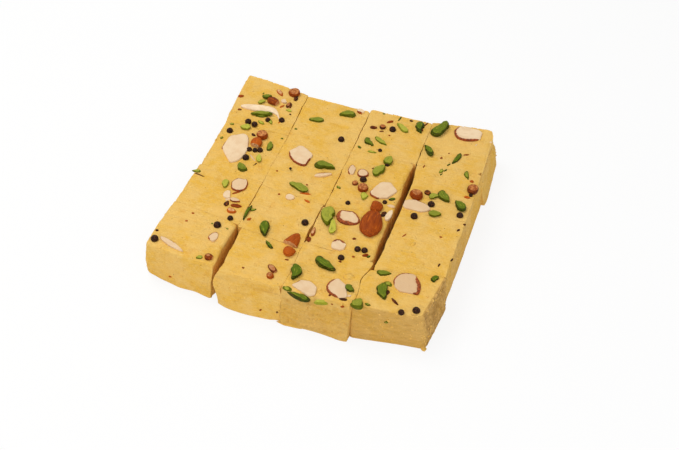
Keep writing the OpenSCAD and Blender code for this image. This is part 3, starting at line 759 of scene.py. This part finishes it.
def look(table, points, count, within=NO_SIDE):
    """What a table says of the topping nearest to this one: count values of its look, and its points, shifted if
    it is near enough."""
    middle = middle_of(points)[:2]
    row = min(table, key=lambda e: math.dist(e[:2], middle))
    if math.dist(row[:2], middle) < within:
        points = shifted(points, *row[2 + count:])
    return *row[2:2 + count], points


SLICE_TURNS = 72
# The rings of a slice's top and rim: share of its reach, and of its thickness
SLICE_RINGS = [(share, 1) for share in (0.0, 0.2, 0.4, 0.6, 0.75, 0.87, 0.95, 1.0)] \
    + [(1.03, 0.72), (1.03, 0.3), (0.97, 0)]
BENT_SLICE = (-63, 56.5)  # where the long white sliver lies, which bends down at its right end


def almond_slice(build, points, seed):
    rims, breaks, shade, larger, points = look(SLICES, points, 4)
    middle = middle_of(points)
    low, high = points[:, 2].min(), points[:, 2].max()
    flat = points[:, :2] - middle[:2]
    angle = np.arctan2(flat[:, 1], flat[:, 0])
    order = np.argsort(angle)
    turns = np.arange(SLICE_TURNS) * 2 * math.pi / SLICE_TURNS
    reach = np.interp(turns, angle[order], np.hypot(*flat[order].T), period=2 * math.pi)
    ways = np.stack([np.cos(turns), np.sin(turns), 0 * turns], 1)
    for way, share in breaks:
        way = math.radians(way)
        toward = np.cos(turns - way)
        limit = share * np.interp(way % (2 * math.pi), turns, reach, period=2 * math.pi)
        reach = np.where(toward > 0.05, np.minimum(reach, limit / np.maximum(toward, 0.05)), reach)
    reach = larger * reach * (1 + 0.02 * noise(ways * 3 + seed, 1.0, 61) + 0.012 * noise(ways * 9 + seed, 1.0, 62))
    rim_width = np.zeros(SLICE_TURNS)
    for start, end, width in rims:
        rim_width = np.maximum(rim_width, width * ((np.degrees(turns) - start) % 360 <= end - start))
    for _ in range(3):
        rim_width = (rim_width + np.roll(rim_width, 1) + np.roll(rim_width, -1)) / 3
    rim = ease(0.02, 0.25, rim_width)
    tilt = np.array([chance(seed, 0, 1.7, 63), chance(0, seed, 1.7, 64)])
    out, skin = [], []
    for share, level in SLICE_RINGS:
        spots = ways * (reach * share)[:, None]
        dish = 0.10 * noise(spots + middle, 3.5, 65) + 0.06 * noise(spots + middle, 1.2, 66) \
            + 0.12 * (spots[:, :2] @ tilt) / reach.mean() + 0.22 * share ** 2 * noise(ways * 0.8 + seed, 1, 67)
        spots = spots + middle
        spots[:, 2] = low + (high - low) * level + (dish if level > 0 else 0) - (0.12 if share == 1.0 else 0)
        near = 1 - reach * (1 - share) / (2 * np.maximum(rim_width, 0.05))
        out.append(spots)
        skin.append(rim * np.clip(near, 0, 1) if level == 1 else rim)
    out = np.vstack([out[0][:1], *out[1:], [[middle[0], middle[1], low]]])
    skin = np.concatenate([skin[0][:1], *skin[1:], [0]])
    axis = long_axis(points)
    if math.dist(middle[:2], BENT_SLICE) < 2:
        axis = axis * np.sign(axis[0])
        out = out - np.outer(np.maximum(2 - (out - middle) @ axis, 0) * 0.28, axis)
        past = np.maximum((out - middle) @ axis - 3, 0)
        out = out - np.outer(0.10 * past ** 2, across_of(axis)) - np.outer(0.02 * past ** 2, axis)
    faces = [f[:1] + f[:0:-1] for f in ring_faces(len(SLICE_RINGS) - 1, SLICE_TURNS)]
    build.add(out, faces, rim=skin, grain=(own(out, middle, axis) + seed) * MM, shade=shade, cut=0)


def rounded(build, points, faces, slot, table, seed, wrinkle, ripple, top, kept, is_kernel=False, ring=0):
    """A nut, pistachio or chunk: the CAD solid's own surface with wrinkles along it. kept is the share of its
    height above the sweet that it keeps."""
    shade, broken, points = look(table, points, 2)
    size = np.ptp(points, 0).max()
    along, around = (36, 44) if size > 10 else (28, 32) if size > 5 else (18, 22)
    out, quads, unit, cut, local, (middle, axis, half) = shell(points, faces, along, around)
    flat_end = np.abs(local[cut > 0.5, 1]).max() if (cut > 0.5).any() else 0
    if flat_end < 0.45 * half[1]:  # only the blunt end of a whole one
        cut = cut * 0
    small = half.min()
    grain = local + seed * 7.3
    lengthwise = grain * [0.22, 1, 1]
    amount = wrinkle * (0.6 * noise(lengthwise, 0.55 * small, 71) + 0.4 * noise(lengthwise, 0.25 * small, 72)) \
        + ripple * small * noise(grain, 1.1 * small, 73)
    across = across_of(axis)
    out = out + outward(unit / half, axis) * (amount - 0.35 * wrinkle)[:, None] * (1 - cut[:, None])
    u, v = local[:, 0] / half[0], local[:, 1]
    if is_kernel:  # bent, with one end slimmer and with ragged sides
        bend, slim, ragged = (chance(seed, k, 1.3, 77) for k in range(3))
        shift = 0.5 * bend * half[1] * (u * u - 0.4) - (0.28 * np.sign(slim) * u + 0.12) * v \
            + (0.16 + 0.1 * ragged) * v * noise(np.stack([u * 3.2 + seed, np.sign(v), 0 * u], 1), 1.0, 78)
        out = out + across * shift[:, None]
        rind = ease(0.45, 0.85, unit[:, 2] + 0.3 * noise(grain * [0.5, 1, 1], 0.8 * small, 79))
        cut = np.maximum(cut, rind)
    if broken > 0:
        peak = out[:, 2].max()
        plane = peak - broken * (peak - top) + 0.12 * ((out - middle) @ across) * chance(seed, 1, 1.3, 74) \
            + 0.10 * ((out - middle) @ axis) * chance(1, seed, 1.3, 75)
        over = out[:, 2] - plane
        cut = np.maximum(cut, ease(-0.25, 0.15, over))
        out[:, 2] = np.where(over > 0, plane + 0.12 * over + 0.06 * noise(out, 0.9, 76), out[:, 2])
    out[:, 2] = np.where(out[:, 2] > top, top + (out[:, 2] - top) * kept, out[:, 2])
    build.add(out, quads, slot, rim=ring, grain=grain * MM, shade=shade, cut=cut)


def seed_ball(build, points, faces, seed):
    points, = look(SEEDS, points, 0, 1)
    out, quads, unit, *_, (middle, *_) = shell(points, faces, 22, 26)
    radius = np.ptp(points, 0).max() / 2
    ridge = np.abs(noise(unit * 3 + seed, 1.0, 81)) - 0.45 + 0.4 * noise(unit * 7 + seed, 1.0, 82)
    build.add(out + normalized(out - middle) * (0.055 * radius * ridge - 0.02 * radius)[:, None], quads)


SLICE_POINTS, CHUNK_POINTS = 60, 120  # a slice's solid has fewer points, a round nut's has more
# By CAD node: the piece's name, slot and materials, and how far apart the seeds of its toppings' noise are
TOPPINGS = {"nuts_": ("almonds_", "nut", ("slice", "skin"), 13.7),
            "pistachios_": ("kernels_", "pistachio", ("pistachio",), 17.1),
            "seeds_": ("peppers_", "seed", ("seed",), 11.3)}


def toppings(name, materials):
    """The pieces that stand for a block's toppings, each with its node and slot."""
    made = []
    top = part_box("piece_" + name)[1].z / MM
    number = sum(ord(ch) * (k + 1) for k, ch in enumerate(name))
    for kind, (piece, slot, paints, apart) in TOPPINGS.items():
        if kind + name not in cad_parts:
            continue
        build = Build()
        for k, (points, faces) in enumerate(islands(kind + name)):
            seed = number + apart * k
            if kind == "seeds_":
                seed_ball(build, points, faces, seed)
            elif kind == "pistachios_":
                rounded(build, points, faces, 0, KERNELS, seed, 0.26, 0.12, top, 0.8, True)
            elif len(points) < SLICE_POINTS:
                almond_slice(build, points, seed)
            elif len(points) < CHUNK_POINTS:
                rounded(build, points, faces, 1, CHUNKS, seed, 0.26, 0.08, top, 0.72)
            else:
                rounded(build, points, faces, 1, CHUNKS, seed, 0.30, 0.12, top, 0.85, ring=1)
        made.append((build.make(piece + name, [materials[paint] for paint in paints]), kind + name, slot))
    return made


# ---- crumbs and bits
def ball(detail):
    work = bmesh.new()
    bmesh.ops.create_icosphere(work, subdivisions=detail, radius=1)
    out = np.array([v.co for v in work.verts]), [[v.index for v in f.verts] for f in work.faces]
    work.free()
    return out


def lumpy(unit, *waves):
    """A ball made lumpy by waves of noise: how deep, how fine, how far shifted, and which seed."""
    return unit * (1 + sum(deep * noise(unit * fine + shift, 1.0, seed) for deep, fine, shift, seed in waves))[:, None]


LUMP = ball(2)
FLAKE = ball(3)
TOP_CRUMBS, SIDE_CRUMBS = 34, 60  # on a block's top, and on each of the slab's own sides of a block
# Crumbs that stand out: block, place, radii and turn
LOOSE = [("r4c3", 3.5, -85.2, 0.45, 7.0, 1.3, 0.45, -2), ("r4c4", 78.4, -76.9, 0.9, 1.5, 2.3, 0.9, 30),
         ("r4c3", 30.5, -62.0, 25.6, 3.0, 2.2, 0.7, 20), ("r3c4", 57.0, -27.0, 25.8, 1.8, 1.1, 0.6, 60)]


def lumps(name, tree, sides, material):
    """Crumbs of the sweet that lie on a block and cling to its sides."""
    ways, is_free, height = sides
    rng = np.random.default_rng(sum(ord(ch) * 7 ** k for k, ch in enumerate(name)))
    low, high = (np.array(v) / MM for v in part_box("piece_" + name))
    build = Build()
    unit, faces = LUMP

    def put(spot, size, seed):
        shape = lumpy(unit, (0.35, 1.3, seed, 91), (0.15, 3, seed, 92))
        build.add(shape * (size * rng.uniform(0.7, 1.3, 3)) + spot, faces)

    for k in range(TOP_CRUMBS):
        x, y = rng.uniform(low[:2] + 1, high[:2] - 1)
        size = 0.22 + 0.5 * rng.random() ** 3
        hit, *_ = tree.ray_cast((x, y, RAYS_FROM), -UP)
        if hit is not None and hit.z > height - 1.5:
            put(np.array(hit) - UP * 0.35 * size, size, k * 3.7)
    for side in np.flatnonzero(is_free):
        way = np.array([*ways[side], 0])
        for k in range(SIDE_CRUMBS):
            start = np.array([*rng.uniform(low[:2] + 1, high[:2] - 1), rng.uniform(1.5, height - 0.2)])
            size = 0.25 + 0.6 * rng.random() ** 2
            hit, normal, _, _ = tree.ray_cast(start + way * RAYS_FROM, -way)
            if hit is not None and normal @ Vector(way) > 0.3:
                put(np.array(hit) - way * 0.45 * size, size, k * 2.9)
    for block, x, y, z, *radii, turn in LOOSE:
        if block == name:
            build.add(lumpy(unit, (0.3, 1.6, x, 93)) * radii @ turned(turn) + [x, y, z], faces)
    return build.make("crumbs_" + name, [material])


# Small bits by the top they show, seen from above: place, length, width, turn and shade
BITS = {
    "skin": [
        (-78.5, 50, 2.4, 1.6, 20, 0.25), (-82.5, 63, 3.6, 2.2, 30, 0.7), (-50, 47, 3.2, 0.9, 60, 0.95),
        (-46.5, 56.5, 1.3, 1, 0, 0.1), (-54, 62, 3, 1.4, 60, 0.8), (-61.5, 30.5, 3.4, 2, -30, 0.05),
        (-50.5, 5.5, 2.8, 0.8, 70, 0.05), (-78.5, -14.5, 6.5, 0.9, -10, 0.15), (-52, -21.5, 5, 1.2, 40, 0.5),
        (-69.3, -45.3, 1.5, 1.1, 0, 0.8), (-82.7, -64.6, 1.8, 1.3, 0, 0.1), (-70.2, -52.2, 1.6, 1, 30, 0.7),
        (-5, 72.6, 3.4, 1.1, -20, 0.6), (-13.5, -8.6, 6, 1.5, 10, 0.9), (-36, 4, 1.5, 1, 0, 0.5),
        (-15, -1.5, 1.2, 1, 0, 0.6), (-37, -39.2, 2.6, 1.7, 60, 0.9), (-28, -14, 1.5, 1, 20, 0.7),
        (-10.5, -14.2, 4, 1.4, -15, 0.9), (-6, -61.5, 2.2, 0.9, 10, 0.35), (-26.5, -75, 1.4, 1, 0, 0.5),
        (13, 60.6, 2.6, 1.1, 20, 0.2), (15.5, 71, 4.6, 1.8, 35, 0.6), (28, 76.5, 2.2, 1.6, 0, 0.1),
        (37.6, 76.5, 4.4, 0.9, 70, 0.3), (18.5, 58.5, 1.4, 1, 0, 0.6), (36, 70, 3, 2.4, 60, 0.3),
        (17.6, 26, 1.5, 0.9, 60, 0.1), (34.8, -9.5, 4.4, 3, 70, 0.02), (24.5, -34, 2.3, 1.3, 30, 0.3),
        (34.4, -44.2, 3.4, 2, 30, 0.5), (28.3, -47.3, 1.7, 1.2, 0, 0.6), (32.2, -78.4, 4.4, 1.9, 12, 0.08),
        (24.5, -77.8, 1.7, 1.1, 60, 0.3), (22.3, -53, 1.7, 1, 0, 0.3), (54.5, 49, 2, 1.3, 80, 0.5),
        (57.8, 55, 1.2, 0.8, 30, 0.5), (68.4, 57, 3.6, 1.1, 25, 0.4), (46.4, 37.8, 2.6, 0.8, 80, 0.4),
        (77.4, 20.1, 3.4, 1.6, 0, 0.9), (77, 34.3, 2.4, 1.6, 0, 0.8), (80.9, -2.1, 1.8, 1.2, 0, 0.1),
        (82.8, 6.8, 1.6, 1.1, 40, 0.1), (83.2, -6.9, 1.6, 1, 0, 0.1), (78.6, -8, 2.4, 1.3, 60, 0.05),
        (80.6, -31.9, 2.8, 1, 70, 0.05), (74.8, -37.7, 2.6, 0.9, 80, 0.1), (50.5, -22, 3, 0.8, 60, 0.7),
        (70.5, -16.5, 1.6, 1, 0, 0.6), (58.5, -70.8, 6, 1.7, -35, 0.12), (53.4, -66.2, 3.4, 2, 80, 0.1),
    ],
    "green": [
        (-56, 45.6, 6, 2.4, -50, 0.75), (-70, 70.5, 1.6, 1, 80, 0.4), (-62.9, 48.8, 8, 2.6, 18, 0.35),
        (-61.1, 42.9, 5, 2.4, -20, 0.85), (-77.8, 35.5, 2.6, 1.5, 20, 0.6), (-78.9, 21.3, 2.2, 1.6, 60, 0.5),
        (-43.4, 33, 1.6, 1.2, 0, 0.4), (-46, -50.2, 1.3, 0.9, 0, 0.6), (-55.5, -49.5, 1.2, 1, 0, 0.5),
        (-38.5, 44.5, 1.8, 1.3, 0, 0.3), (20.5, 76.2, 4.6, 0.9, 80, 0), (9.5, 77.5, 1.7, 1.2, 0, 0.3),
        (4.2, 41.5, 2.8, 1.5, -30, 0.2), (12.8, 39.6, 5, 1.8, 0, 0.75), (3.3, 3, 3, 1.8, -30, 0.45),
        (36, 4, 3.8, 2, 30, 0.05), (36.2, -44.6, 2.2, 1.2, 50, 0.1), (60.2, 44.2, 2.8, 0.9, 62, 0.05),
        (59.6, 38.6, 2.6, 0.9, 60, 0.05), (58, 34.4, 2.4, 0.9, 55, 0.1), (57.3, 37.2, 4, 2.2, 70, 0.7),
        (48.1, 81, 2.4, 1.5, 0, 0), (1.2, -81.1, 5, 3.4, -20, 0.55), (52, -60.2, 4.5, 3, 0, 0.6),
        (45.6, -77.6, 3, 1.6, -15, 0.4),
    ],
    "pale": [
        (-54.2, 10.4, 6, 1, -40, 0.5), (-53.5, -27.5, 5.5, 2, 35, 0.5), (34.6, -75, 2.4, 1.5, 30, 0.5),
        (79.9, 74, 2, 1.4, 0, 0.7), (72, 68, 2.4, 0.8, 70, 0.5), (37.1, -1.6, 4.6, 2, 0, 0.4),
    ],
}
# The same on the front face: place to the right and up, length, width, turn and shade
FRONT_BITS = {
    "skin": [
        (-70.1, 6.4, 1.6, 1.2, 20, 0.8), (-13.4, 5.6, 1.8, 1.1, 60, 0.6), (-3.6, 7.1, 1.8, 1, 70, 0.1),
        (32.9, 24, 2.2, 1.2, 20, 0.7), (27.1, 23.8, 1.4, 0.8, 0, 0.4),
    ],
    "green": [(57, 18, 2.4, 1.3, 30, 0.4)],
}
BIT_SLOTS = {"skin": 0, "green": 1, "pale": 2}
FORWARD = np.array([[1, 0, 0], [0, 0, 1], [0, -1, 0.0]])  # rows: the length, width and thickness of a bit in front


def bits(name, tree, sides, materials):
    """Bits of nut and kernel that lie on a block, and on its side if that is the slab's front."""
    _, is_free, height = sides
    build = Build()
    unit, faces = FLAKE
    placed = [((x, y, RAYS_FROM), np.eye(3), kind, x, y, *e) for kind, rows in BITS.items() for x, y, *e in rows]
    if is_free[2]:
        placed += [((x, FRONT_RAYS_FROM, z), FORWARD, kind, x, z, *e)
                   for kind, rows in FRONT_BITS.items() for x, z, *e in rows]
    for start, ways, kind, seed, other_seed, length, width, turn, shade in placed:
        hit, *_ = tree.ray_cast(start, -ways[2])
        if hit is None or (ways is not FORWARD and hit.z < height - 3):
            continue
        thick = min(1.6, width) * (0.8 if kind != "pale" else 0.5)
        shape = lumpy(unit, (0.3, 1.4, seed, 95), (0.12, 3.5, other_seed, 96)) * [length / 2, width / 2, thick / 2]
        cut = ease(0.6, 0.95, unit[:, 2]) * (kind == "green")
        build.add(shape @ turned(turn) @ ways + np.array(hit) + 0.1 * thick * ways[2], faces, BIT_SLOTS[kind],
                  shade=shade, cut=cut, rim=0, grain=(shape + seed) * MM)
    return build.make("bits_" + name, [materials["skin"], materials["pistachio"], materials["slice"]])


# ---- light and floor
FLOOR_SIZE = 3.0  # m, from its middle to its sides
FLOOR_WHITE = 0.85  # the share of plain white in what is seen of it
WORLD_STRENGTH = 0.47
LIGHTS = [  # place in m, size in m, watts and colour
    ("key", (-0.36, 0.14, 0.78), 0.5, 3.3, (1, 0.985, 0.95)),
    ("front", (-0.36, -0.88, 0.5), 0.7, 2.0, (1, 0.99, 0.97)),
    ("fill", (0.34, -0.66, 0.66), 0.5, 2.0, (1, 0.99, 0.97)),
    ("right", (0.95, -0.1, 0.3), 0.6, 0.9, (1, 0.99, 0.98)),
]


def surroundings():
    mesh = bpy.data.meshes.new("floor")
    corners = [(x * FLOOR_SIZE, y * FLOOR_SIZE, 0) for x, y in ((-1, -1), (1, -1), (1, 1), (-1, 1))]
    mesh.from_pydata(corners, [], [(0, 1, 2, 3)])
    mesh.materials.append(floor_material())
    add_object("floor", mesh)
    p = Paint(bpy.data.worlds.new("world"))
    light, seen = (p.node("Background", {"Color": (1, 1, 1, 1), "Strength": strength})
                   for strength in (WORLD_STRENGTH, 1))
    bpy.context.scene.world = p.show(p.node("MixShader", {0: p.seen_directly(), 1: light, 2: seen}), "World")
    for name, place, size, power, colour in LIGHTS:
        data = bpy.data.lights.new(name, "AREA")
        data.shape, data.size, data.energy, data.color = "DISK", size, power, colour
        ob = add_object(name, data)
        ob.location = place
        ob.rotation_mode = "QUATERNION"
        ob.rotation_quaternion = (-Vector(place)).to_track_quat("-Z", "Y")
    bpy.context.scene.view_settings.view_transform = "Standard"


make_camera()
surroundings()
MATERIALS = {"sweet": sweet_material(), "slice": slice_material(), "skin": skin_material(),
             "pistachio": pistachio_material(), "seed": seed_material()}
LINES = {(row, column): side_lines(row, column) for row, column in BLOCKS}
for row, column in BLOCKS:
    block = f"r{row}c{column}"
    body = "portion_" + block
    piece, surface, outline = sweet(row, column, MATERIALS["sweet"])
    loose = lumps(block, surface, outline, MATERIALS["sweet"])
    small = bits(block, surface, outline, MATERIALS)
    for made, node, slot in [(piece, "piece_" + block, "sweet"), (loose, "piece_" + block, "sweet"),
                             (small, "piece_" + block, "nut"), *toppings(block, MATERIALS)]:
        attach(made, body)
        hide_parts(node)
